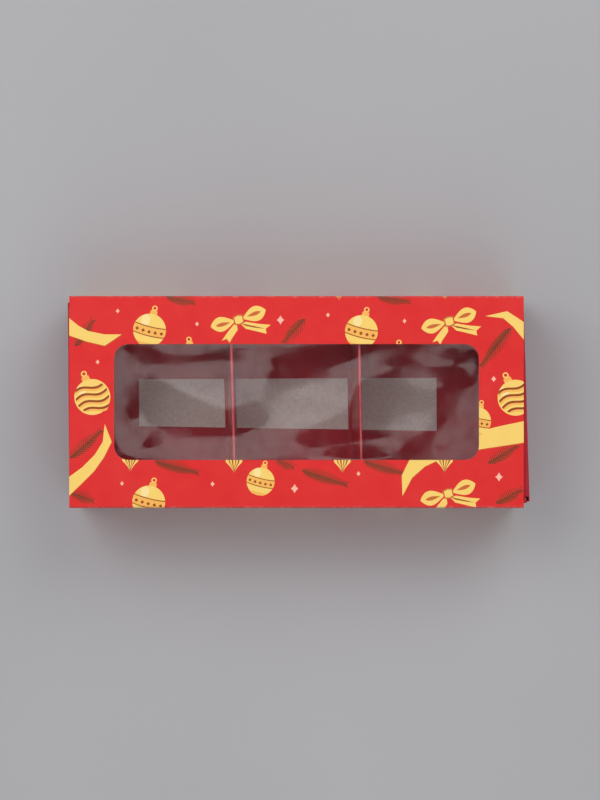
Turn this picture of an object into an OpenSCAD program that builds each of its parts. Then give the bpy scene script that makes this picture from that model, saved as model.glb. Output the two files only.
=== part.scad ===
// A sweet box of folded card: a printed sleeve with a film window, and in it a tray with
// rolled walls and two dividers, which pushes out of either end of the sleeve.
// The origin is on the table under the middle of the box. X runs along the tray's slide,
// Y towards the rear, Z up. Sizes are in millimetres.

/* [Sleeve] */
// Length of the sleeve, along the tray's slide
sleeve_length = 190.5; // [175:0.5:260]
// Width over the sleeve's front and rear panels
sleeve_width = 88.9; // [80:0.1:130]
// Height over the sleeve's bottom and top panels
sleeve_height = 38; // [28:0.5:60]
// Thickness of the sleeve's board
sleeve_board = 0.45; // [0.3:0.05:0.8]
// Inside radius of the sleeve's creases
sleeve_fold = 0.5; // [0.2:0.1:1.2]
// Height of the glued flap inside the rear panel
glue_flap = 14; // [8:1:22]
// How much shorter the glued flap is at each end of its free edge
glue_flap_taper = 6; // [2:1:14]

/* [Window] */
// Length of the window in the top panel
window_length = 153; // [80:1:168]
// Width of the window in the top panel
window_width = 48.6; // [30:0.1:68]
// Radius of the window's corners
window_corner = 6; // [2:0.5:14]
// Thickness of the clear film
film = 0.2; // [0.1:0.05:0.4]
// How far the film reaches past the window under the top panel
film_overlap = 8; // [3:0.5:10]

/* [Tray] */
// Thickness of the tray's board
tray_board = 0.45; // [0.3:0.05:0.6]
// Inside radius of the tray's creases
tray_fold = 0.2; // [0.1:0.05:0.35]
// Gap between the tray and the sleeve's glued flap, and as much at the front
side_clearance = 0.75; // [0.4:0.05:2]
// Gap between the tray's rim and the film
top_clearance = 0.8; // [0.4:0.1:4]
// How far each end of the tray stands out of the sleeve
tray_proud = 0.5; // [0:0.1:4]
// Width of the rolled rim along the front and rear walls
side_rim = 2.4; // [1.8:0.1:5]
// Width of the rolled rim across the end walls
end_rim = 3; // [2.5:0.1:6]
// Width of the floor flap behind the front wall
front_flap = 30.6; // [12:0.2:36]
// How much narrower the front floor flap is at its right end
front_flap_slant = 3.7; // [0:0.1:8]
// Width of the floor flap before the rear wall
rear_flap = 30.2; // [12:0.2:36]
// Width of the floor flap beside the left end wall
left_flap = 24.2; // [12:0.2:40]
// Width of the floor flap beside the right end wall
right_flap = 31.8; // [12:0.2:40]
// How much shorter a floor flap is at each end of its free edge
flap_taper = 1.5; // [0.5:0.5:6]
// Gap between panels of the tray that pass each other at a corner
corner_gap = 0.3; // [0.15:0.05:0.8]
// Length of each corner tab inside the end walls
corner_tab = 24; // [10:1:36]
// How far a corner tab stays clear of the base and the rim
corner_tab_inset = 1.6; // [1:0.1:4]

/* [Dividers] */
// Distance between the top folds of the two dividers
divider_spacing = 53.6; // [30:0.2:100]
// Thickness of the dividers' card
divider_board = 0.45; // [0.3:0.05:0.6]
// Inside radius of the dividers' folds
divider_fold = 0.1; // [0.05:0.05:0.3]
// How far a divider's top fold stays below the tray's rim
divider_drop = 0.6; // [0:0.1:6]
// Angle by which a divider's left leaf leans away from its upright right leaf
divider_splay = 4.5; // [0:0.5:9]
// Width of the glued foot outside the left leaf
divider_foot = 1.2; // [0.6:0.1:6]
// Gap between each end of a divider and the tray's wall
divider_gap = 0.3; // [0.15:0.05:1.5]

/* [Hidden] */
$fn = 48;

// How far glued faces sink into each other, so that the glued card is one solid
glue_bite = 0.02;

// Reach of a crease over its outer face, from the flat panel to the turned one
sleeve_corner = sleeve_fold + sleeve_board;
tray_corner = tray_fold + tray_board;

tray_length = sleeve_length + 2 * tray_proud;
tray_width = sleeve_width - 4 * sleeve_board - 2 * side_clearance;
tray_height = sleeve_height - 2 * sleeve_board - film - top_clearance;
base_half_length = tray_length / 2 - tray_corner;
base_half_width = tray_width / 2 - tray_corner;

// Top faces of the floor flaps: the side flaps lie on the base, the end flaps on them
side_flap_top = 2 * tray_board - glue_bite;
end_flap_top = side_flap_top + tray_board - glue_bite;

// Faces of the inner walls, and the ends of the long walls behind the end panels
inner_half_length = tray_length / 2 - end_rim;
inner_half_width = tray_width / 2 - side_rim;
tab_face = tray_length / 2 - tray_board - corner_gap;
side_panel_length = 2 * (tab_face - tray_corner);
side_inner_length = 2 * (tab_face - tray_board - corner_gap);
end_inner_width = 2 * (inner_half_width - corner_gap);

divider_height = tray_height - divider_drop - side_flap_top;
divider_width = 2 * (inner_half_width - divider_gap);
// Waste beyond each end of a divider before it is cut to width
trim = 1;

// A ring sector of card: the crease that turns a panel towards its upper face
module crease(turn, width, board, fold) {
  rotate([90, 90, 0])
    rotate_extrude(angle = turn)
      translate([fold, -width / 2])
        square([board, width]);
}

// A flat panel that starts at the origin and runs along X
module panel(run, near, far, board) {
  linear_extrude(board)
    polygon([[0, -near / 2], [run, -far / 2], [run, far / 2], [0, near / 2]]);
}

// A strip of card folded across its run. Each panel is [turn of the crease before it, run,
// width at its near edge, width at its far edge]. A positive turn bends the strip towards
// its upper face and a negative one towards its lower face.
module folded(panels, board, fold, i = 0) {
  if (i < len(panels)) {
    turn = panels[i][0];
    near = panels[i][2];
    width = i == 0 ? near : min(near, panels[i - 1][3]);
    pivot = turn > 0 ? board + fold : -fold;
    translate([0, 0, turn == 0 ? 0 : pivot]) {
      if (turn > 0) {
        crease(turn, width, board, fold);
      }
      if (turn < 0) {
        mirror([0, 0, 1])
          crease(-turn, width, board, fold);
      }
      rotate([0, -turn, 0])
        translate([0, 0, turn == 0 ? 0 : -pivot]) {
          panel(panels[i][1], near, panels[i][3], board);
          translate([panels[i][1], 0, 0])
            folded(panels, board, fold, i + 1);
        }
    }
  }
}

module rounded_rectangle(size, radius) {
  square([size[0], size[1] - 2 * radius], center = true);
  square([size[0] - 2 * radius, size[1]], center = true);
  for (x = [-1, 1], y = [-1, 1]) {
    translate([x * (size[0] / 2 - radius), y * (size[1] / 2 - radius)])
      circle(radius);
  }
}

// The blank starts at the rear panel's lower edge and goes over the top, down the front and
// back under the box to the flap glued inside the rear panel
module sleeve() {
  length = sleeve_length;
  bottom_run = sleeve_width - sleeve_board + glue_bite - 2 * sleeve_corner;
  blank = [
    [0, sleeve_height - sleeve_corner, length, length],
    [90, sleeve_width - 2 * sleeve_corner, length, length],
    [90, sleeve_height - 2 * sleeve_corner, length, length],
    [90, bottom_run, length, length],
    [90, glue_flap - sleeve_corner, length, length - 2 * glue_flap_taper],
  ];
  color("crimson")
    difference() {
      translate([0, sleeve_width / 2, 0])
        rotate([90, 0, 0])
          rotate([0, 0, 90])
            folded(blank, sleeve_board, sleeve_fold);
      translate([0, 0, sleeve_height - 2 * sleeve_board])
        linear_extrude(3 * sleeve_board)
          rounded_rectangle([window_length, window_width], window_corner);
    }
}

// The film's upper face is glued to the underside of the top panel
module window_film() {
  size = [window_length + 2 * film_overlap, window_width + 2 * film_overlap, film];
  color("lightcyan", 0.35)
    translate([0, 0, sleeve_height - sleeve_board - film / 2])
      cube(size, center = true);
}

// Outer panel, rim, inner panel and floor flap of one wall, starting at the base's edge
module rolled_wall(outer, rim, inner_near, flap_near, flap_far, flap, flap_top) {
  inner_run = tray_height - tray_corner - flap_top - tray_fold;
  folded([
    [90, tray_height - 2 * tray_corner, outer, outer],
    [90, rim - 2 * tray_corner, inner_near, inner_near],
    [90, inner_run, inner_near, inner_near],
    [-90, flap - tray_fold, flap_near, flap_far],
  ], tray_board, tray_fold);
}

// A wall along X, seen from the middle of the tray as if it stood at the rear. The flap's
// free edge is cut back by slant at its left end, and at its right end when mirrored.
module side_wall(flap, slant) {
  flap_length = 2 * (inner_half_length - corner_gap);
  difference() {
    translate([0, base_half_width, 0])
      rotate([0, 0, 90])
        rolled_wall(side_panel_length, side_rim, side_inner_length, flap_length,
                    flap_length - 2 * flap_taper, flap, side_flap_top);
    if (slant > 0) {
      flap_edge = inner_half_width - flap;
      translate([0, 0, tray_board])
        linear_extrude(2 * tray_board)
          polygon([[inner_half_length, flap_edge], [-inner_half_length, flap_edge],
                   [-inner_half_length, flap_edge + slant]]);
    }
  }
}

// A wall across the tray at its right end
module end_wall(flap) {
  translate([base_half_length, 0, 0])
    rolled_wall(2 * base_half_width, end_rim, end_inner_width, end_inner_width,
                end_inner_width - 2 * flap_taper, flap, end_flap_top);
}

// The tab on the right end of the rear wall, bent in behind the end wall's outer panel
module corner_tab_right() {
  height = tray_height - 2 * (tray_corner + corner_tab_inset);
  translate([side_panel_length / 2, tray_width / 2, tray_height / 2])
    rotate([90, 0, 0])
      folded([[90, corner_tab - tray_corner, height, height - 4 * flap_taper]],
             tray_board, tray_fold);
}

// Base, rolled walls and corner tabs are one blank. The tray stands on the sleeve's bottom.
module tray() {
  color("firebrick")
    translate([0, 0, sleeve_board]) {
      linear_extrude(tray_board)
        polygon([[-base_half_length, -base_half_width], [base_half_length, -base_half_width],
                 [base_half_length, base_half_width], [-base_half_length, base_half_width]]);
      side_wall(rear_flap, 0);
      rotate([0, 0, 180])
        side_wall(front_flap, front_flap_slant);
      end_wall(right_flap);
      rotate([0, 0, 180])
        end_wall(left_flap);
      for (x = [0, 1], y = [0, 1]) {
        mirror([x, 0, 0])
          mirror([0, y, 0])
            corner_tab_right();
      }
    }
}

// A doubled leaf: from the glued foot up the leaning left leaf, over the top fold and down
// the upright right leaf. It is folded over-wide and trimmed square at both ends. The top
// fold is at x = 0 and the foot stands at z = 0.
module divider() {
  corner = divider_fold + divider_board;
  rise = divider_height - corner;
  left_run = (rise + divider_fold * sin(divider_splay)
              - corner * (1 - sin(divider_splay))) / cos(divider_splay);
  foot_to_fold = divider_foot + (corner + divider_fold) * cos(divider_splay)
               + left_run * sin(divider_splay);
  uncut = divider_width + 2 * trim;
  intersection() {
    translate([-foot_to_fold, 0, 0])
      folded([
        [0, divider_foot, uncut, uncut],
        [90 - divider_splay, left_run, uncut, uncut],
        [divider_splay - 180, rise, uncut, uncut],
      ], divider_board, divider_fold);
    translate([-foot_to_fold - trim, -divider_width / 2, -trim])
      cube([foot_to_fold + corner + 2 * trim, divider_width, divider_height + 2 * trim]);
  }
}

module placed_divider(x) {
  color("firebrick")
    translate([x, 0, sleeve_board + side_flap_top])
      divider();
}

module divider_left() {
  placed_divider(-divider_spacing / 2);
}

module divider_right() {
  placed_divider(divider_spacing / 2);
}

sleeve();
window_film();
tray();
divider_left();
divider_right();
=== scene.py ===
# %% [markdown]
# # A sweet box of folded card, dressed in Blender
# The box is a printed sleeve with a film window and a plain red tray that slides through it.
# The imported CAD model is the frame: every piece made here lies where its solid lies. The
# sleeve and the film are new surfaces. The tray and its dividers are copies of their CAD
# meshes, eased a little askew, as the real ones sit.

# %% load the frame
import math

import bpy
import numpy as np
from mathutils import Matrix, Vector
from mathutils.geometry import delaunay_2d_cdt


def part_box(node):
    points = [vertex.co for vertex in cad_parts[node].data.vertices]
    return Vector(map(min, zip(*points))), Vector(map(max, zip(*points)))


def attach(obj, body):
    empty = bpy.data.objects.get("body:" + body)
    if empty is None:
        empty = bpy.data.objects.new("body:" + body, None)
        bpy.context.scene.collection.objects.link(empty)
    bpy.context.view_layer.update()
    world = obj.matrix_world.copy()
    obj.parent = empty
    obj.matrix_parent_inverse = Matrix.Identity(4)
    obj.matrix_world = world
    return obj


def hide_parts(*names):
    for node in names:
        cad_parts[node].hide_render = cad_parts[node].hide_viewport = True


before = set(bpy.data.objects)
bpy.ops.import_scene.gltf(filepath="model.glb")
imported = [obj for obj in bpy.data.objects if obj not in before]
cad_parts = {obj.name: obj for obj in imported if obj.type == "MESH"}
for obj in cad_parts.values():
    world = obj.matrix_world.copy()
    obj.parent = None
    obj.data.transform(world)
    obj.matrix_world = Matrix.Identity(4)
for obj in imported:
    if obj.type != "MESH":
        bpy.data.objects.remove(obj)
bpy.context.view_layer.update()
MM = 0.001


def cad_size(name):
    """Length, width and height of a CAD node in mm, to a hundredth."""
    low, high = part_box(name)
    return [round((b - a) / MM, 2) for a, b in zip(low, high)]


LENGTH, WIDTH, HEIGHT = cad_size("sleeve")
FILM_LENGTH, FILM_WIDTH, _ = cad_size("window_film")
print("sleeve", LENGTH, WIDTH, HEIGHT, "mm, film", FILM_LENGTH, "by", FILM_WIDTH, "mm")

# %% [markdown]
# ## Camera
# The photograph looks straight down, so the camera hangs over the middle of the box. Its
# height sets how much of the tray's inner walls shows through the window, and its lens then
# follows from how much of the top panel's plane the picture covers.

# %% camera
SENSOR = 36.0              # mm
CAMERA_HEIGHT = 0.95       # metres above the top panel
VIEW_HEIGHT = 0.3353       # metres that the picture's 800 pixels cover on the top panel
VIEW_CENTRE = (0.00147, 0.00084)

camera_data = bpy.data.cameras.new("camera")
camera_data.sensor_width = SENSOR
camera_data.lens = SENSOR * CAMERA_HEIGHT / VIEW_HEIGHT
camera_data.clip_start = 0.05
camera = bpy.data.objects.new("camera", camera_data)
camera.location = (*VIEW_CENTRE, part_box("sleeve")[1].z + CAMERA_HEIGHT)
bpy.context.scene.collection.objects.link(camera)
bpy.context.scene.camera = camera
bpy.context.scene.view_settings.view_transform = "Standard"
print("camera with a lens of", round(camera_data.lens, 1), "mm")

# %% [markdown]
# ## Light
# The photograph has faint shadows on all sides, as a light tent gives. Three broad lamps of
# unequal strength and an even grey sky stand for the tent. Clear film shows what it mirrors,
# and an even sky would turn it grey all over. So the sky is dim overhead, and two small
# panels hang there: their reflections are the film's pale bands.

# %% lamps and sky
LAMPS = (                  # name, place and side in metres, watts
    ("lamp_rear_left", (-0.75, 0.55, 0.95), 0.9, 6.5),
    ("lamp_rear_right", (0.6, 0.9, 0.8), 0.85, 6.0),
    ("lamp_front", (0.25, -0.9, 1.0), 0.9, 3.0),
    ("panel_overhead", (-0.07, 0.07, 1.7), 0.24, 0.26),
    ("panel_right", (0.24, -0.02, 1.7), 0.18, 0.12),
)
LAMP_TARGET = Vector((0, 0, 0.02))
SKY_LEVEL = 0.68
OVERHEAD_LEVEL = 0.1
DIM_FROM = 0.9             # upward part of a direction of length 1 at which the sky starts to dim
DIM_TO = 0.975


def srgb(*rgb):
    """A colour picked on a screen, 0 to 255, as the linear value that a shader takes."""
    c = np.array(rgb) / 255
    linear = np.where(c > 0.04045, ((c + 0.055) / 1.055) ** 2.4, c / 12.92)
    return (*(float(v) for v in linear), 1.0)


def soft_lamp(name, place, size, watts):
    """A square area lamp at place, aimed at the middle of the box."""
    data = bpy.data.lights.new(name, "AREA")
    data.size = size
    data.energy = watts
    lamp = bpy.data.objects.new(name, data)
    lamp.location = place
    lamp.rotation_euler = (LAMP_TARGET - Vector(place)).to_track_quat("-Z", "Y").to_euler()
    bpy.context.scene.collection.objects.link(lamp)


def tent_sky():
    """A grey sky whose strength depends only on how far upwards a direction points."""
    world = bpy.data.worlds.new("sky")
    bpy.context.scene.world = world
    world.use_nodes = True
    tree = world.node_tree
    background = tree.nodes["Background"]
    background.inputs["Color"].default_value = srgb(222, 222, 226)
    direction = tree.nodes.new("ShaderNodeTexCoord")
    parts = tree.nodes.new("ShaderNodeSeparateXYZ")
    strength = tree.nodes.new("ShaderNodeMapRange")
    for socket, value in (("From Min", DIM_FROM), ("From Max", DIM_TO),
                          ("To Min", SKY_LEVEL), ("To Max", OVERHEAD_LEVEL)):
        strength.inputs[socket].default_value = value
    tree.links.new(direction.outputs["Generated"], parts.inputs[0])
    tree.links.new(parts.outputs["Z"], strength.inputs["Value"])
    tree.links.new(strength.outputs[0], background.inputs["Strength"])


for lamp_values in LAMPS:
    soft_lamp(*lamp_values)
tent_sky()
print(len(LAMPS), "lamps and a sky")

# %% [markdown]
# ## Card finishes
# Folding board is a sheet of pressed fibre with a thin clear laminate on its printed side. In
# light it shows a faint unevenness of gloss, a fine fibre grain under the laminate, and slow
# waves where the sheet isn't quite flat. A scanned texture would need its own unwrapping of
# every panel, so each finish here is one Principled shader whose roughness and bump come
# from noise on Object coordinates, which fit a folded piece as it is.

# %% node helpers
MIX_SHARE, MIX_A, MIX_B, MIX_COLOUR = 0, 6, 7, 2     # sockets of a Mix node set to colours
SHEEN_WAVES = 60           # patches of sheen a metre
FIBRE_WAVES = 2600         # fibres a metre
SHEET_WAVES = 28           # slow waves of the sheet a metre
BUMP_DEPTH = 0.0004


def new_material(name):
    """A new material, its node tree and the Principled shader in it."""
    material = bpy.data.materials.new(name)
    material.use_nodes = True
    tree = material.node_tree
    return material, tree, tree.nodes["Principled BSDF"]


def node(tree, kind, inputs=None, **settings):
    """One node of that kind. Inputs are values, or sockets to link from."""
    made = tree.nodes.new(kind)
    for key, value in settings.items():
        setattr(made, key, value)
    for key, value in (inputs or {}).items():
        if isinstance(value, bpy.types.NodeSocket):
            tree.links.new(value, made.inputs[key])
        else:
            made.inputs[key].default_value = value
    return made


def noise(tree, place, scale, detail):
    """Noise of that many waves a metre on the place socket."""
    values = {"Vector": place, "Scale": scale, "Detail": detail}
    return node(tree, "ShaderNodeTexNoise", values).outputs[0]


def ramp(tree, value, low, high, out_low, out_high):
    """The value's span low to high, laid on out_low to out_high and held at the ends."""
    return node(tree, "ShaderNodeMapRange", {
        "Value": value, "From Min": low, "From Max": high, "To Min": out_low, "To Max": out_high,
    }).outputs[0]


def mixed(tree, share, a, b):
    """Colour a going over to colour b by share."""
    made = node(tree, "ShaderNodeMix", {MIX_SHARE: share, MIX_A: a, MIX_B: b}, data_type="RGBA")
    return made.outputs[MIX_COLOUR]


def calc(tree, operation, a, b=0.0):
    """One sum on numbers or sockets."""
    return node(tree, "ShaderNodeMath", {0: a, 1: b}, operation=operation).outputs[0]


def card_surface(tree, shader, place, rough, grain=0.05, wave=0.25):
    """Roughness that drifts about rough. The bump is grain times the fibre noise, plus wave
    times the sheet's slow noise."""
    sheen = noise(tree, place, SHEEN_WAVES, 4)
    tree.links.new(ramp(tree, sheen, 0.3, 0.7, rough - 0.06, rough + 0.08), shader.inputs["Roughness"])
    fibre = calc(tree, "MULTIPLY", noise(tree, place, FIBRE_WAVES, 2), grain)
    slow = calc(tree, "MULTIPLY", noise(tree, place, SHEET_WAVES, 2), wave)
    height = calc(tree, "ADD", fibre, slow)
    bump = node(tree, "ShaderNodeBump", {"Height": height, "Distance": BUMP_DEPTH, "Strength": 0.5})
    tree.links.new(bump.outputs[0], shader.inputs["Normal"])


print("helpers ready")

# %% [markdown]
# ### The tray's board
# The plain red tray is printed on one side only, and its walls and floor flaps show that side
# inside as well, because they are rolled over. Between the flaps lies the bare grey-white
# back of its base. That face could have a slot of its own, but one test finds it: only the
# base looks up at that height, so the finish asks for both. The dividers are the same board,
# and their sharp top fold gets a patchy painted highlight, a paler red for the light it catches.

# %% red card
BOARD = 0.45                   # mm, one layer of board
BASE_FACE = 2 * BOARD * MM     # the tray's base lies on the sleeve's bottom
FACE_SLACK = 0.00012
LOOKS_UP = 0.9
FOLD_HIGHLIGHT_SPAN = (0.0354, 0.0359)    # metres up a divider, from where the painted highlight on its fold begins to where it is full


def crimson(tree, place):
    """The plain red ink, drifting a little in strength."""
    drift = ramp(tree, noise(tree, place, 90, 5), 0.3, 0.7, 0.0, 1.0)
    return mixed(tree, drift, srgb(166, 20, 38), srgb(184, 28, 48))


def height_of(tree, place):
    """The z part of a place or a direction."""
    return node(tree, "ShaderNodeSeparateXYZ", {"Vector": place}).outputs["Z"]


def red_card():
    """Crimson laminated board, with the bare base face between the flaps."""
    material, tree, shader = new_material("red_card")
    place = node(tree, "ShaderNodeTexCoord").outputs["Object"]
    normal = node(tree, "ShaderNodeNewGeometry").outputs["Normal"]
    up = calc(tree, "GREATER_THAN", height_of(tree, normal), LOOKS_UP)
    off_face = calc(tree, "ABSOLUTE", calc(tree, "SUBTRACT", height_of(tree, place), BASE_FACE))
    bare = calc(tree, "MULTIPLY", up, calc(tree, "LESS_THAN", off_face, FACE_SLACK))
    fibre = ramp(tree, noise(tree, place, 900, 5), 0.35, 0.65, 0.0, 1.0)
    board = mixed(tree, fibre, srgb(214, 200, 192), srgb(228, 216, 207))
    tree.links.new(mixed(tree, bare, crimson(tree, place), board), shader.inputs["Base Color"])
    card_surface(tree, shader, place, 0.42)
    shader.inputs["Specular IOR Level"].default_value = 0.42
    return material


def fold_highlight_card():
    """The same red board for the dividers, with a patchy painted highlight along their top fold."""
    material, tree, shader = new_material("red_card_fold_highlight")
    place = node(tree, "ShaderNodeTexCoord").outputs["Object"]
    # painted highlight: the top fold is mixed in patches towards pale pink, standing in for the light that
    # catches it
    at_fold = ramp(tree, height_of(tree, place), *FOLD_HIGHLIGHT_SPAN, 0.0, 1.0)
    patchy = ramp(tree, noise(tree, place, 400, 4), 0.3, 0.7, 0.45, 0.9)
    highlight_share = calc(tree, "MULTIPLY", at_fold, patchy)
    wear_and_highlight = mixed(tree, highlight_share, crimson(tree, place), srgb(218, 100, 106))
    tree.links.new(wear_and_highlight, shader.inputs["Base Color"])
    card_surface(tree, shader, place, 0.38)
    shader.inputs["Specular IOR Level"].default_value = 0.5
    return material


print("card finishes ready")

# %% [markdown]
# ## The tray and its dividers
# In the photograph the tray sits a little askew in its sleeve, its right end wall springs
# open towards the front, and each divider leans a little off square. Their folds are already
# true in the CAD meshes, so nothing is modelled again: the meshes are copied, merged, and
# moved by a formula of x, y and z, within the play that the sleeve leaves.

# %% tray and dividers, eased into place
TRAY_SKEW = 0.0078         # mm to the left for each mm to the rear, 0.45 degrees
TRAY_TURN = 0.004          # mm to the rear for each mm to the right
SPRING = 1.9               # mm, how far the right end wall springs out at its top front corner
WALL_X = 91.5              # where that wall begins
SPRING_Y = 8.0             # the wall springs in front of this line
DIVIDER_SLOPES = {"left": 0.026, "right": 0.018}


def eased_copy(cad_name, name, ease, material):
    """A merged copy of a CAD node whose points are moved by ease(points in mm)."""
    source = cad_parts[cad_name].data
    co = np.zeros(len(source.vertices) * 3)
    source.vertices.foreach_get("co", co)
    keys, where = np.unique(np.round(co.reshape(-1, 3) / MM, 4), axis=0, return_inverse=True)
    corners = np.zeros(len(source.loops), int)
    source.loops.foreach_get("vertex_index", corners)
    triangles = where.ravel()[corners].reshape(-1, 3)
    a, b, c = triangles.T
    triangles = triangles[(a != b) & (b != c) & (a != c)]
    mesh = bpy.data.meshes.new(name)
    mesh.from_pydata((ease(keys) * MM).tolist(), [], triangles.tolist())
    mesh.materials.append(material)
    made = bpy.data.objects.new(name, mesh)
    bpy.context.scene.collection.objects.link(made)
    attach(made, "tray")
    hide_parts(cad_name)
    print(name, len(triangles), "triangles")


def tray_askew(p):
    """x loses a share of y, and y gains a share of x. The right end wall also moves out by the
    product of three shares: how far a point is into the wall, how far to the front, how high."""
    x, y, z = p.T
    into_wall = np.clip((x - WALL_X) / 2, 0, 1)
    to_front = np.clip((SPRING_Y - y) / 50, 0, 1) ** 1.2
    spring = into_wall * to_front * SPRING * (z / 36)
    return np.c_[x - TRAY_SKEW * y + spring, y + TRAY_TURN * x, z]


def divider_askew(slope):
    """The move of a divider that isn't square, as a function of its points."""
    def ease(p):
        """x loses slope times y."""
        return np.c_[p[:, 0] - slope * p[:, 1], p[:, 1], p[:, 2]]
    return ease


eased_copy("tray", "rolled_tray", tray_askew, red_card())
FOLD_HIGHLIGHT_CARD = fold_highlight_card()
for side_name, side_slope in DIVIDER_SLOPES.items():
    eased_copy(f"divider_{side_name}", f"divider_card_{side_name}", divider_askew(side_slope), FOLD_HIGHLIGHT_CARD)

# %% [markdown]
# ## The print
# The sleeve carries a common festive wrapping pattern: gold baubles, drops, bows, ribbons, fir
# sprigs and small diamonds on red. A print has sharp outlines. An image on the panels would
# blur up close, so each motif is a closed outline from a formula, and all outlines are cut
# into one flat sheet, the blank. The flat blank is folded afterwards, so the print runs over
# the creases as it does on a printed carton.

# %% inks and plain outlines
INKS = {
    "red": srgb(224, 38, 40), "gold": srgb(253, 214, 112), "light": srgb(255, 230, 158),
    "amber": srgb(250, 186, 88), "rust": srgb(205, 105, 50), "brown": srgb(150, 66, 22),
    "sprig": srgb(84, 58, 28), "pale": srgb(255, 190, 165),
}
motifs = []                # (ink, outline in mm on the blank), later ones on top


def draw(ink, outline):
    """Adds one closed outline, turned so that it runs anticlockwise: its area, half the sum of
    the cross products of neighbouring points, is then positive."""
    p = np.asarray(outline, float)
    q = np.roll(p, -1, axis=0)
    if np.sum(p[:, 0] * q[:, 1] - q[:, 0] * p[:, 1]) < 0:
        p = p[::-1]
    motifs.append((ink, p))


def placed(points, centre, turn=0.0, size=1.0):
    """Points scaled, turned by degrees and moved to centre."""
    a = math.radians(turn)
    spin = np.array([[math.cos(a), math.sin(a)], [-math.sin(a), math.cos(a)]])
    return np.asarray(points, float) * size @ spin + centre


def circle(radius, count, centre=(0, 0)):
    """That many points on a circle: cosine and sine of even steps, times radius."""
    a = np.linspace(0, 2 * np.pi, count, endpoint=False)
    return np.c_[np.cos(a), np.sin(a)] * radius + centre


def star(centre, reach):
    """A four-pointed diamond with hollow sides: eight points whose distance alternates between
    reach and 0.58 of it, narrowed to 0.8 sideways."""
    a = np.arange(8) * np.pi / 4
    r = np.where(np.arange(8) % 2 == 0, reach, reach * 0.58)
    draw("pale", np.c_[np.cos(a) * r * 0.8, np.sin(a) * r] + centre)


print(len(INKS), "inks")

# %% [markdown]
# ### Baubles and drops
# A printed bauble is a disc with a cap, a ring and bands across it. The bands end on the
# disc's edge, so they are worked out on a disc of radius 1, where half a chord is the root of
# 1 less its height squared, and are then scaled and turned. The drop is a ball drawn out to a
# point, with stripes that keep their share of its width all the way.

# %% baubles and drops
BAND_POINTS = 14
RIPPLE = 3.4               # how fast a striped bauble's bands ripple, in radians a radius
DROP_LENGTH = 12.0         # mm
DROP_HALF = 3.5            # mm, half the width at the widest
DROP_FULL_AT = 5.2         # mm from the point, where it has its full width
DROP_CLOSES_AT = 7.0       # mm from the point, where it starts to close


def half_chord(height, reach):
    """Half the width of a disc of radius 1 at that height, times reach."""
    return math.sqrt(max(1 - height * height, 0.0)) * reach


def rise(x, bend, waves):
    """How far a band lies above its own height at x: a parabola of bend less a sine of waves."""
    return bend * (1 - x * x) - waves * np.sin(x * RIPPLE)


def chord_band(low, high, bend=0.0, waves=0.0, reach=1.0):
    """The part of a disc of radius 1 between two heights, bowed by bend and rippled by waves."""
    s = np.linspace(-1, 1, BAND_POINTS)
    top, bottom = s * half_chord(high, reach), s[::-1] * half_chord(low, reach)
    return np.r_[np.c_[top, high + rise(top, bend, waves)], np.c_[bottom, low + rise(bottom, bend, waves)]]


def hanger(centre, radius, turn):
    """A bauble's cap and ring, above a ball of that radius."""
    for ink, outline in (
        ("gold", circle(0.17, 16, (0, 1.36))),
        ("red", circle(0.095, 12, (0, 1.37))),
        ("amber", [(-0.24, 0.94), (0.24, 0.94), (0.2, 1.22), (-0.2, 1.22)]),
        ("brown", [(-0.25, 0.92), (0.25, 0.92), (0.25, 0.98), (-0.25, 0.98)]),
    ):
        draw(ink, placed(outline, centre, turn, radius))


def banded_bauble(centre, radius, turn):
    """A ball with a belt of small diamonds between two lines, and a light cheek."""
    hanger(centre, radius, turn)
    draw("gold", placed(circle(1.0, 40), centre, turn, radius))
    draw("light", placed(circle(0.3, 20, (-0.42, 0.5)) * (0.9, 1.1), centre, turn, radius))
    draw("amber", placed(chord_band(-0.27, 0.27, -0.08), centre, turn, radius))
    for height in (-0.31, 0.25):
        draw("brown", placed(chord_band(height, height + 0.06, -0.08), centre, turn, radius))
    for x in np.linspace(-0.76, 0.76, 5):
        diamond = circle(0.115, 4) + (x, -0.03 - 0.08 * (1 - x * x))
        draw("brown", placed(diamond, centre, turn, radius))
    draw("amber", placed(chord_band(-0.92, -0.74, -0.05), centre, turn, radius))


def striped_bauble(centre, radius, turn):
    """A ball crossed by four rippled dark stripes, each with an amber one under it."""
    hanger(centre, radius, turn)
    draw("gold", placed(circle(1.0, 40), centre, turn, radius))
    draw("light", placed(circle(0.26, 18, (-0.45, 0.55)), centre, turn, radius))
    for height in (-0.66, -0.26, 0.14, 0.54):
        for ink, low, high in (("amber", -0.17, -0.05), ("brown", -0.05, 0.08)):
            stripe = chord_band(height + low, height + high, 0, 0.13, 0.93)
            draw(ink, placed(stripe, centre, turn, radius))


def drop(tip, turn=0.0):
    """A drop whose point is at tip. Its half width grows as the 1.7th power of the way to its
    full width, then closes as a quarter ellipse. Its stripes run at fixed shares of it."""
    h = np.linspace(0, DROP_LENGTH, 20)
    closing = np.clip((h - DROP_CLOSES_AT) / (DROP_LENGTH - DROP_CLOSES_AT), 0, 1)
    half = DROP_HALF * np.clip(h / DROP_FULL_AT, 0, 1) ** 1.7 * np.sqrt(1 - closing * closing)

    def between(left, right):
        """Up the right side and down the left, without the points that meet in the tip."""
        return np.r_[np.c_[right, h], np.c_[left, h][::-1]][1:-2]

    draw("gold", placed(between(-half, half), tip, turn))
    for lean, ink in ((-0.62, "rust"), (-0.2, "brown"), (0.22, "rust"), (0.62, "brown")):
        spine = half * lean * 0.9
        slim = 0.05 + half * 0.07
        draw(ink, placed(between(spine - slim, spine + slim), tip, turn))


print("baubles and drops defined")

# %% [markdown]
# ### Bows, ribbons and sprigs
# A tied bow is drawn here as flat ribbon: two loops, two notched tails and a knot over them.
# The loops swell and close, so each is a line with a sine for its half width, and the tails
# are short polygons. A fir sprig is a stem with a needle about every millimetre on each side.
# Needles drawn one by one keep its feathery edge, which one outline round it would lose.

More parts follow.
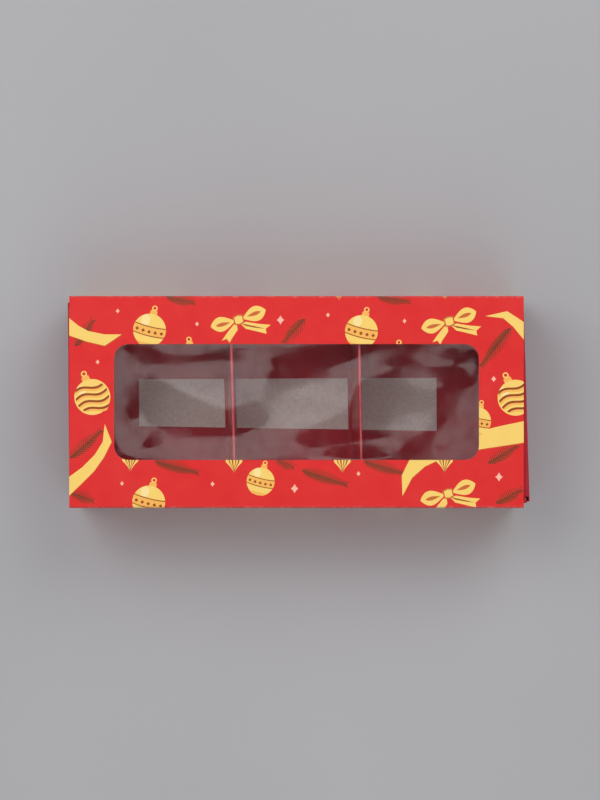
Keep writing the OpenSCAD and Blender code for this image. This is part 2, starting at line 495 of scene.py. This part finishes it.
# %% bows, ribbons and sprigs
PX = 1 / 2.386             # one pixel of the picture on the top panel, in mm
BOX_CENTRE_PX = (296.5, 402)
RIBBON_FACE = 0.985        # the gold face, as a share of the dark ribbon under it
NEEDLE_LENGTH = 4.2
NEEDLE_STEP = 1.1


def at(px, py):
    """A point of the top panel, from its place in the picture to mm on the blank."""
    return np.array([(px - BOX_CENTRE_PX[0]) * PX, (BOX_CENTRE_PX[1] - py) * PX])


def leaf_loop(start, end, width):
    """A loop of ribbon: a leaf from start to end whose half width swells by a sine."""
    start, end = np.asarray(start, float), np.asarray(end, float)
    t = np.linspace(0, 1, 18)
    along = end - start
    side = np.array([-along[1], along[0]]) / np.linalg.norm(along)
    spine = start + t[:, None] * along
    half = (np.sin(np.pi * t ** 1.35) ** 0.8 * width)[:, None]
    return np.r_[spine + side * half, (spine - side * half)[::-1]]


BOW_PARTS = (              # pixels from the knot, y downwards, from the lowest to the topmost
    ("gold", [(1, 3), (8, 2), (20, 4), (32, 5), (27, 9), (28, 14), (16, 11), (7, 9)]),
    ("gold", [(-2, 3), (-1, 10), (-7, 19), (-9, 23), (-12, 19), (-17, 21), (-10, 11), (-5, 5)]),
    ("brown", [(2, 3.4), (16, 6.4), (27, 9), (16, 7.8), (7, 6)]),
    ("gold", leaf_loop((-3, 1), (-28, 7), 7.4)),
    ("rust", leaf_loop((-8, 2.6), (-23, 6.4), 1.9)),
    ("gold", leaf_loop((3, -1), (27, -10), 7.6)),
    ("rust", leaf_loop((8, -3.2), (22, -8.4), 1.9)),
)
KNOT = placed([(-4.4, -3.6), (0, -4.6), (4.4, -3.6), (4.6, 3.6), (0, 4.8), (-4.6, 3.6)], (0, 0), 15)


def bow(centre, turn=0.0):
    """Two loops with dark slits, two notched tails and a knot."""
    for ink, points in BOW_PARTS:
        draw(ink, placed(np.asarray(points, float) * (1, -1), centre, turn, PX))
    for ink, size in (("rust", 1.16), ("gold", 0.86)):
        draw(ink, placed(KNOT * size, centre, turn, PX))


def ribbon(corners):
    """A flat ribbon through its corners in the picture: a dark one, and on it the same one
    drawn in about its middle and moved back a little, so that the dark shows at the front."""
    p = np.array([at(*c) for c in corners])
    draw("rust", p)
    draw("gold", (p - p.mean(0)) * RIBBON_FACE + p.mean(0) + (0, 0.24))


def sprig(start, end):
    """A stem with a row of fine needles on each side, the right-hand row broader. Their length
    follows a sine along the stem, and is greatest a third of the way up."""
    start, end = np.asarray(start, float), np.asarray(end, float)
    length = np.linalg.norm(end - start)
    along = (end - start) / length
    side = np.array([-along[1], along[0]])
    for t in np.linspace(0.02, 0.98, int(length / NEEDLE_STEP)):
        foot = start + along * length * t
        needle = NEEDLE_LENGTH * (0.5 + 0.5 * math.sin(math.pi * min(t * 1.1 + 0.15, 1)))
        for hand, slim in ((1, 0.27), (-1, 0.52)):
            tip = foot + along * needle * 0.75 + side * hand * needle * 0.6
            foot_half, tip_half = along * slim, along * slim * 0.5
            draw("sprig", [foot - foot_half, foot + foot_half, tip + tip_half, tip - tip_half])
    draw("sprig", [start - side * 0.16, end - side * 0.06, end + side * 0.06, start + side * 0.16])


print("bows, ribbons and sprigs defined")

# %% [markdown]
# ### The top panel's motifs
# The motifs of the top panel lie about where the photograph shows them, in its pixels. Those
# that meet a crease or the window are simply folded or cut with the sheet, as on the carton.

# %% places on the top panel
SPRIGS = (                 # foot and tip of each stem
    ((75, 346), (92, 321)), ((70, 458), (100, 431)), ((70, 492), (92, 500)), ((155, 461), (197, 472)),
    ((166, 296), (193, 302)), ((305, 319), (285, 342)), ((302, 470), (346, 484)), ((377, 296), (408, 301)),
    ((364, 461), (404, 473)), ((511, 328), (482, 366)), ((488, 463), (516, 446)), ((496, 503), (520, 490)),
    ((276, 459), (292, 466)),
)
RIBBONS = (                # corners, in order round each
    ((60, 313), (69, 318.5), (78, 326), (88, 331.5), (105, 335), (122, 335), (105, 346.5), (87, 342.3),
     (69, 336), (60, 331)),
    ((105, 424), (112, 442), (104, 458), (94, 472), (82, 484), (69, 496.5), (60, 502), (60, 482),
     (69, 477.5), (82, 468), (95, 455), (103, 442)),
    ((485, 316.5), (507, 311.5), (524, 322.5), (536, 332), (536, 352), (524, 340.5), (513, 327),
     (503, 318.5)),
    ((470, 434), (480, 431.5), (498, 427), (524, 421.5), (536, 419), (536, 441), (524, 443.3), (480, 450),
     (470, 452)),
    ((412, 455), (445, 455), (440, 460), (425, 467), (412, 478.5), (402.3, 497), (401.5, 476)),
)
BANDED = (                 # centre, radius, and turn in degrees
    (149.5, 330, 16.4, -14), (361.4, 331.5, 16.4, -14), (148.7, 502, 16.4, -14), (260.6, 481.5, 14, -14),
    (477, 421, 14, -14), (192, 361, 16, 8), (402, 364, 16, 8),
)
STRIPED = ((92.3, 397, 18, 20), (515.6, 397.7, 18, 24))
DROP_TIPS = (
    (131, 299), (234.4, 300), (339, 302), (445, 301),
    (130.4, 473), (234, 474.5), (342.3, 474.5), (444.6, 474),
)
BOWS = ((238.7, 319.8), (449.3, 321.5), (448.4, 493.6))
STARS = (                  # centre and reach
    (117.7, 311, 2.6), (97.6, 362, 2.6), (122, 483.5, 2.6), (197, 324, 2.6), (212.5, 484, 2.8),
    (280.5, 320, 4.6), (294.6, 488.6, 4.6), (328, 315, 2.6), (358.5, 473.7, 2.6), (404.5, 321, 2.6),
    (493.7, 379, 3.2), (499, 477, 4.6),
)

for foot_px, tip_px in SPRIGS:
    sprig(at(*foot_px), at(*tip_px))
for ribbon_corners in RIBBONS:
    ribbon(ribbon_corners)
for px, py, radius_px, degrees in BANDED:
    banded_bauble(at(px, py), radius_px * PX, degrees)
for px, py, radius_px, degrees in STRIPED:
    striped_bauble(at(px, py), radius_px * PX, degrees)
for tip_px in DROP_TIPS:
    drop(at(*tip_px))
for bow_px in BOWS:
    bow(at(*bow_px))
for px, py, reach_px in STARS:
    star(at(px, py), reach_px * PX)
print(len(motifs), "outlines on the top panel")

# %% [markdown]
# ## The blank and its folds
# The blank is one long sheet: rear wall, top, front wall, bottom and a glue flap, with a
# crease between each pair. Separate panels with bevelled corners would look alike, but their
# prints would have to be matched at each corner. Here the distance v along the blank grows to
# the rear, and the fold is one function: v is looked up on a line of walls and quarter arcs
# that gives y and z.

# %% fold line
FOLD = 0.95                # mm, outer radius of a crease
FLAP = 14.0                # height of the glue flap
FLAP_TAPER = 6.0           # how much shorter its free edge is at each end
GLUE_GAP = 0.02
FLAP_FACE = WIDTH / 2 - BOARD - GLUE_GAP
ARC_STEPS = 5
TINY = 1e-6


def fold_line():
    """Points (v, y, z) of the outer skin from the rear wall's cut edge to the glue flap's end.
    v is the way along the line from the middle of the top panel, and grows to the rear."""
    half, low, high = WIDTH / 2, FOLD, HEIGHT - FOLD
    runs = [np.array([[half, 0.0], [half, high]])]
    for cy, cz, start in ((half - FOLD, high, 0), (-half + FOLD, high, 90), (-half + FOLD, low, 180),
                          (FLAP_FACE - FOLD, low, 270)):
        a = np.radians(start + np.linspace(0, 90, ARC_STEPS + 1))
        runs.append(np.c_[cy + FOLD * np.cos(a), cz + FOLD * np.sin(a)])
    runs.append(np.array([[FLAP_FACE, FLAP]]))
    yz = np.concatenate(runs)
    yz = yz[np.r_[True, np.linalg.norm(np.diff(yz, axis=0), axis=1) > TINY]]
    walked = np.r_[0, np.cumsum(np.linalg.norm(np.diff(yz, axis=0), axis=1))]
    on_top = yz[:, 1] > HEIGHT - TINY
    middle = np.interp(0, -yz[on_top, 0], walked[on_top])
    return middle - walked, yz


line_v, line_yz = fold_line()
V_REAR, V_FLAP = line_v[0], line_v[-1]
print("blank runs from", round(V_FLAP, 1), "to", round(V_REAR, 1), "mm")

# %% [markdown]
# ### The print on the walls and the bottom
# The photograph doesn't show the walls or the bottom, and a wrapping pattern goes on all
# round, so the same motifs are scattered there. A regular grid would show as rows. Here each
# takes a random place, drawn until one is clear of the motifs before it, or left out when
# none is found. The seed keeps the scatter the same in every run.

# %% motifs on the walls and the bottom
PANELS = (                 # from v, to v, and how many rounds of motifs
    (50, 82, 7), (-88, -50, 8), (-172, -90, 20),
)
ROOM = (("bow", 9.0), ("band", 8.0), ("stripe", 8.0), ("drop", 6.5), ("sprig", 7.0))
TRIES = 60
REACH_X = 92               # mm from the middle, just inside the blank's ends
CREASE_DISC = 11.0         # radius of the discs that keep the scatter off the top panel's creases

rng = np.random.default_rng(7)
taken = [np.array([x, y, CREASE_DISC]) for x in np.arange(-90, 91, 15) for y in (-44, 44)]


def free_spot(v_low, v_high, radius):
    """A random place between two lines of the blank, clear of the motifs so far, or None. Two
    discs are clear if their centres are farther apart than the sum of their radii."""
    for x, v in np.c_[rng.uniform(-REACH_X, REACH_X, TRIES), rng.uniform(v_low, v_high, TRIES)]:
        if all(math.hypot(x - t[0], v - t[1]) > radius + t[2] for t in taken):
            taken.append(np.array([x, v, radius]))
            return np.array([x, v])
    return None


def scatter(kind, spot):
    """One motif of that kind at spot, tilted at random. A sprig runs any way."""
    tilt = rng.uniform(-20, 20)
    if kind == "bow":
        bow(spot, tilt * 0.5)
    elif kind == "band":
        banded_bauble(spot, 6.6, tilt)
    elif kind == "stripe":
        striped_bauble(spot, 7.0, tilt)
    elif kind == "drop":
        drop(spot - (0, DROP_LENGTH / 2), tilt)
    else:
        heading = math.radians(rng.uniform(0, 360))
        run = np.array([math.cos(heading), math.sin(heading)]) * 7
        sprig(spot - run, spot + run)


for v_low, v_high, rounds in PANELS:
    for _ in range(rounds):
        for kind, radius in ROOM:
            spot = free_spot(v_low, v_high, radius)
            if spot is not None:
                scatter(kind, spot)
    for _ in range(rounds * 2):
        spot = free_spot(v_low, v_high, 2.4)
        if spot is not None:
            star(spot, rng.choice([1.1, 1.9]))
print(len(motifs), "outlines on the whole blank")

# %% [markdown]
# ## Cutting the blank
# Where motifs cross, the upper one hides the lower. Thin layers stacked on the card would
# flicker where they lie close, and would stand out at the edges. A constrained Delaunay
# triangulation puts all outlines into one flat mesh instead, and tells for each triangle which
# outlines hold it: the last of those gives its ink, and triangles in the window go. The crease
# lines are edges of it too, and a plain grid of points keeps the triangles small enough to bow.

# %% cut the outlines into the sheet
WINDOW_LENGTH = 153
WINDOW_WIDTH = 48.6
WINDOW_CORNER = 6
GRID = 4.0
MERGE = 1e-4


def rounded_window():
    """The window's outline: a quarter circle, mirrored into all four corners."""
    a = np.linspace(0, np.pi / 2, 8)
    arc = np.c_[np.cos(a), np.sin(a)] * WINDOW_CORNER
    corner = arc + np.array([WINDOW_LENGTH / 2 - WINDOW_CORNER, WINDOW_WIDTH / 2 - WINDOW_CORNER])
    return np.r_[corner, (corner * (-1, 1))[::-1], -corner, (corner * (1, -1))[::-1]]


def blank_outline():
    """The blank's edge: a long rectangle whose glue flap narrows to its end."""
    half, taper = LENGTH / 2, LENGTH / 2 - FLAP_TAPER
    shoulder = V_FLAP + FLAP - FOLD
    return np.array([(-half, shoulder), (-taper, V_FLAP), (taper, V_FLAP), (half, shoulder),
                     (half, V_REAR), (-half, V_REAR)])


def printed_sheet():
    """Points, triangles and the ink of each triangle of the flat blank. Outline 0 is the blank
    and the last one is the window, so a triangle stays if the first holds it and the last
    doesn't."""
    outlines = [blank_outline()] + [p for _, p in motifs] + [rounded_window()]
    inks = ["red"] + [ink for ink, _ in motifs]
    points, faces, edges = [], [], []
    for p in outlines:
        start = len(points)
        points += [Vector(q) for q in p]
        faces.append(list(range(start, start + len(p))))
    for v in line_v[1:-1]:
        start = len(points)
        points += [Vector((-LENGTH / 2, v)), Vector((LENGTH / 2, v))]
        edges.append((start, start + 1))
    gx, gv = np.meshgrid(np.arange(-92, 93, GRID), np.arange(V_FLAP + 16, V_REAR - 2, GRID))
    points += [Vector(q) for q in np.c_[gx.ravel(), gv.ravel()]]
    co, _, tris, _, _, held = delaunay_2d_cdt(points, edges, faces, 0, MERGE)
    window = len(outlines) - 1
    kept = [(t, max(h)) for t, h in zip(tris, held) if 0 in h and window not in h]
    return np.array(co), np.array([t for t, _ in kept]), [inks[k] for _, k in kept]


sheet_xv, sheet_tris, sheet_inks = printed_sheet()
print(len(sheet_xv), "points,", len(sheet_tris), "triangles")

# %% [markdown]
# ## Folding the blank
# A real panel is never quite flat: the top sinks a little over its window, and the front wall
# hollows by a fraction of a millimetre. The folded sheet gets that bow, which panels made as
# straight boxes would lack. Solidify then gives it the board's thickness, with the bare back
# of the board on its inner face and the cut edge on its rims.

# %% fold the sheet
TOP_BOW = 0.16             # mm, downwards at the middle of the top panel
WALL_BOW = 0.25            # mm, inwards at the middle of the front wall


def folded(points):
    """Blank points (x, v) to (x, y, z): y and z from the fold line, then the top sinks and the
    front wall hollows, each by a cosine along x times a wave across the panel."""
    x, v = points[:, 0], points[:, 1]
    order = np.argsort(line_v)
    y = np.interp(v, line_v[order], line_yz[order, 0])
    z = np.interp(v, line_v[order], line_yz[order, 1])
    along = np.cos(np.pi * x / LENGTH)
    on_top = np.abs(v) < WIDTH / 2 - FOLD
    z = z - np.where(on_top, TOP_BOW * along * np.cos(np.pi * v / (WIDTH - 2 * FOLD)) ** 2, 0)
    on_front = (v < -WIDTH / 2) & (y < 0) & (z > FOLD) & (z < HEIGHT - FOLD)
    across = np.sin(np.pi * np.clip((z - FOLD) / (HEIGHT - 2 * FOLD), 0, 1)) * along
    y = y + np.where(on_front, WALL_BOW * across, 0)
    return np.c_[x, y, z]


def inked_mesh(name, points, triangles, inks):
    """A mesh of only the used points, in metres, with one ink colour on each corner."""
    used, where = np.unique(triangles.ravel(), return_inverse=True)
    mesh = bpy.data.meshes.new(name)
    mesh.from_pydata((points[used] * MM).tolist(), [], where.reshape(-1, 3).tolist())
    colours = np.repeat(np.array([INKS[k] for k in inks], np.float32), 3, axis=0)
    layer = mesh.color_attributes.new("ink", "FLOAT_COLOR", "CORNER")
    layer.data.foreach_set("color", colours.ravel())
    made = bpy.data.objects.new(name, mesh)
    bpy.context.scene.collection.objects.link(made)
    return made


sleeve = inked_mesh("printed_sleeve", folded(sheet_xv), sheet_tris, sheet_inks)
thickness = sleeve.modifiers.new("board", "SOLIDIFY")
thickness.thickness = BOARD * MM
thickness.offset = -1
thickness.material_offset = 1
thickness.material_offset_rim = 2
print("sleeve has", len(sleeve.data.polygons), "triangles")

# %% [markdown]
# ### The sleeve's three surfaces
# A carton has its ink under a satin laminate outside, bare board inside, and along each cut a
# pale edge of fibre with a trace of ink. They are three slots of one mesh, which Solidify
# deals out. The ink is the colour of each triangle, so it stays sharp. The two long creases of
# the top panel get a little painted shade, a darker red standing in for the shade on their
# curve, and in places the laminate is rubbed through there.

# %% printed card, bare back and cut edge
CREASE_Y = (0.04350, 0.04440)      # metres from the middle, from where a crease shows to where fully
CREASE_Z = (0.03690, 0.03785)      # metres up, likewise


def printed_card():
    """Ink from the corner attribute under a satin laminate, with painted shade and rubbed wear at
    the creases. A place is on a crease by the product of how far out it is and how high it is."""
    material, tree, shader = new_material("printed_card")
    place = node(tree, "ShaderNodeTexCoord").outputs["Object"]
    ink = node(tree, "ShaderNodeVertexColor", layer_name="ink").outputs["Color"]
    uneven = ramp(tree, noise(tree, place, 140, 5), 0.3, 0.7, 0.0, 0.05)
    tint = mixed(tree, uneven, ink, srgb(255, 120, 70))
    parts = node(tree, "ShaderNodeSeparateXYZ", {"Vector": place}).outputs
    far_out = ramp(tree, calc(tree, "ABSOLUTE", parts["Y"]), *CREASE_Y, 0.0, 1.0)
    crease = calc(tree, "MULTIPLY", far_out, ramp(tree, parts["Z"], *CREASE_Z, 0.0, 1.0))
    wear_and_highlight = ramp(tree, noise(tree, place, 700, 5), 0.52, 0.7, 0.0, 0.55)
    rubbed = mixed(tree, calc(tree, "MULTIPLY", crease, wear_and_highlight), tint, srgb(250, 190, 170))
    # painted shade: the creases are mixed towards a deep red, standing in for the shade on their curve
    crease_shade_painted = mixed(tree, calc(tree, "MULTIPLY", crease, 0.25), rubbed, srgb(120, 12, 20))
    tree.links.new(crease_shade_painted, shader.inputs["Base Color"])
    card_surface(tree, shader, place, 0.36, 0.04, 0.3)
    shader.inputs["Specular IOR Level"].default_value = 0.4
    return material


def unprinted_board(name, low, high, scale):
    """Unprinted board: fibre specks between two shades."""
    material, tree, shader = new_material(name)
    place = node(tree, "ShaderNodeTexCoord").outputs["Object"]
    fibre = ramp(tree, noise(tree, place, scale, 6), 0.35, 0.65, 0.0, 1.0)
    tree.links.new(mixed(tree, fibre, low, high), shader.inputs["Base Color"])
    card_surface(tree, shader, place, 0.8, 0.2, 0.1)
    return material


for sleeve_finish in (
    printed_card(),
    unprinted_board("bare_board", srgb(222, 216, 208), srgb(236, 231, 224), 1100),
    unprinted_board("cut_edge", srgb(226, 168, 160), srgb(240, 205, 196), 2400),
):
    sleeve.data.materials.append(sleeve_finish)
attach(sleeve, "sleeve")
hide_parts("sleeve")
print("sleeve dressed in", [m.name for m in sleeve.data.materials])

# %% [markdown]
# ## The window film
# Thin film glued round its edge never lies flat: it waves by a few tenths of a millimetre, and
# those waves bend the reflection of the lamps into soft curved bands. A cloth simulation could
# make such waves, but a sum of three slow sines is enough, on a grid that lies flat where the
# film is glued under the panel.

# %% film sheet
FILM_TOP = 37.38           # mm, just clear of the bowed top panel
FILM_SAG = 0.3
FILM_THICKNESS = 0.1
FILM_WAVES = (             # height, rate along x, rate along y, start
    (0.2, 0.07, 0.06, 0.6), (0.14, 0.12, -0.15, 2.0), (0.1, 0.05, 0.24, 0.0),
)


def film_height(x, y):
    """Height of the film's top in mm: it sags and waves, less and less towards the window's edge."""
    free_x = np.clip((WINDOW_LENGTH / 2 - np.abs(x)) / 12, 0, 1)
    free_y = np.clip((WINDOW_WIDTH / 2 - np.abs(y)) / 8, 0, 1)
    waves = sum(a * np.sin(u * x + v * y + start) for a, u, v, start in FILM_WAVES)
    return FILM_TOP - free_x * free_y * (FILM_SAG + waves)


def film_sheet(across=96, along=40):
    """A flat grid over the film's CAD length and width, whose height is the film's."""
    x, y = np.meshgrid(np.linspace(-FILM_LENGTH / 2, FILM_LENGTH / 2, across),
                       np.linspace(-FILM_WIDTH / 2, FILM_WIDTH / 2, along))
    points = np.c_[x.ravel(), y.ravel(), film_height(x, y).ravel()] * MM
    index = np.arange(across * along).reshape(along, across)
    quads = np.stack([index[:-1, :-1], index[:-1, 1:], index[1:, 1:], index[1:, :-1]], -1).reshape(-1, 4)
    mesh = bpy.data.meshes.new("window_sheet")
    mesh.from_pydata(points.tolist(), [], quads.tolist())
    mesh.polygons.foreach_set("use_smooth", np.ones(len(quads), bool))
    made = bpy.data.objects.new("window_sheet", mesh)
    bpy.context.scene.collection.objects.link(made)
    return made


film = film_sheet()
film_thickness = film.modifiers.new("film", "SOLIDIFY")
film_thickness.thickness = FILM_THICKNESS * MM
film_thickness.offset = -1
print("film has", len(film.data.polygons), "faces")

# %% [markdown]
# ### The film's finish
# Clear plastic mirrors a few hundredths of the light head on and nearly all of it at a slant.
# A glass shader would cast a full shadow in Cycles and darken the tray, so the finish mixes a
# see-through shader and a glossy one. The glossy share grows with the fifth power of the
# slant, about as it does on real film.

# %% film finish
HEAD_ON_SHARE = 0.042
SLANT_SHARE = 0.9


def clear_film():
    """Clear plastic, faintly scuffed. The glossy share is HEAD_ON_SHARE plus SLANT_SHARE times
    the fifth power of the slant, which is 0 head on and 1 edge on."""
    material, tree, shader = new_material("clear_film")
    tree.nodes.remove(shader)
    place = node(tree, "ShaderNodeTexCoord").outputs["Object"]
    scuff = ramp(tree, noise(tree, place, 180, 4), 0.35, 0.7, 0.03, 0.14)
    dents = noise(tree, place, 45, 2)
    bump = node(tree, "ShaderNodeBump", {"Height": dents, "Distance": 0.0003, "Strength": 0.35})
    gloss = node(tree, "ShaderNodeBsdfGlossy", {"Roughness": scuff, "Normal": bump.outputs[0]})
    clear = node(tree, "ShaderNodeBsdfTransparent", {"Color": (0.98, 0.98, 0.98, 1)})
    slant = node(tree, "ShaderNodeLayerWeight", {"Blend": 0.5}).outputs["Facing"]
    grown = calc(tree, "MULTIPLY", calc(tree, "POWER", slant, 5.0), SLANT_SHARE)
    share = calc(tree, "ADD", grown, HEAD_ON_SHARE)
    mix = node(tree, "ShaderNodeMixShader", {0: share, 1: clear.outputs[0], 2: gloss.outputs[0]})
    tree.links.new(mix.outputs[0], tree.nodes["Material Output"].inputs["Surface"])
    return material


film.data.materials.append(clear_film())
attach(film, "sleeve")
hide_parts("window_film")
print("film dressed")

# %% [markdown]
# ## The floor
# The box lies on a plain pale sheet. It belongs to the picture and not to the box, so it is
# staged. A curved backdrop isn't needed for a view from above, and a single wide face is
# enough, with a faint unevenness of tone.

# %% floor
FLOOR_REACH = 3            # metres from the middle


def floor_sheet():
    """One square face under the box, with a slow drift between two greys."""
    reach = FLOOR_REACH
    mesh = bpy.data.meshes.new("floor")
    mesh.from_pydata([(-reach, -reach, 0), (reach, -reach, 0), (reach, reach, 0), (-reach, reach, 0)],
                     [], [(0, 1, 2, 3)])
    made = bpy.data.objects.new("floor", mesh)
    bpy.context.scene.collection.objects.link(made)
    material, tree, shader = new_material("pale_floor")
    place = node(tree, "ShaderNodeTexCoord").outputs["Object"]
    drift = ramp(tree, noise(tree, place, 3, 3), 0.3, 0.7, 0.0, 1.0)
    tone = mixed(tree, drift, srgb(168, 168, 170), srgb(176, 176, 178))
    tree.links.new(tone, shader.inputs["Base Color"])
    shader.inputs["Roughness"].default_value = 0.75
    mesh.materials.append(material)


floor_sheet()
print("floor staged")
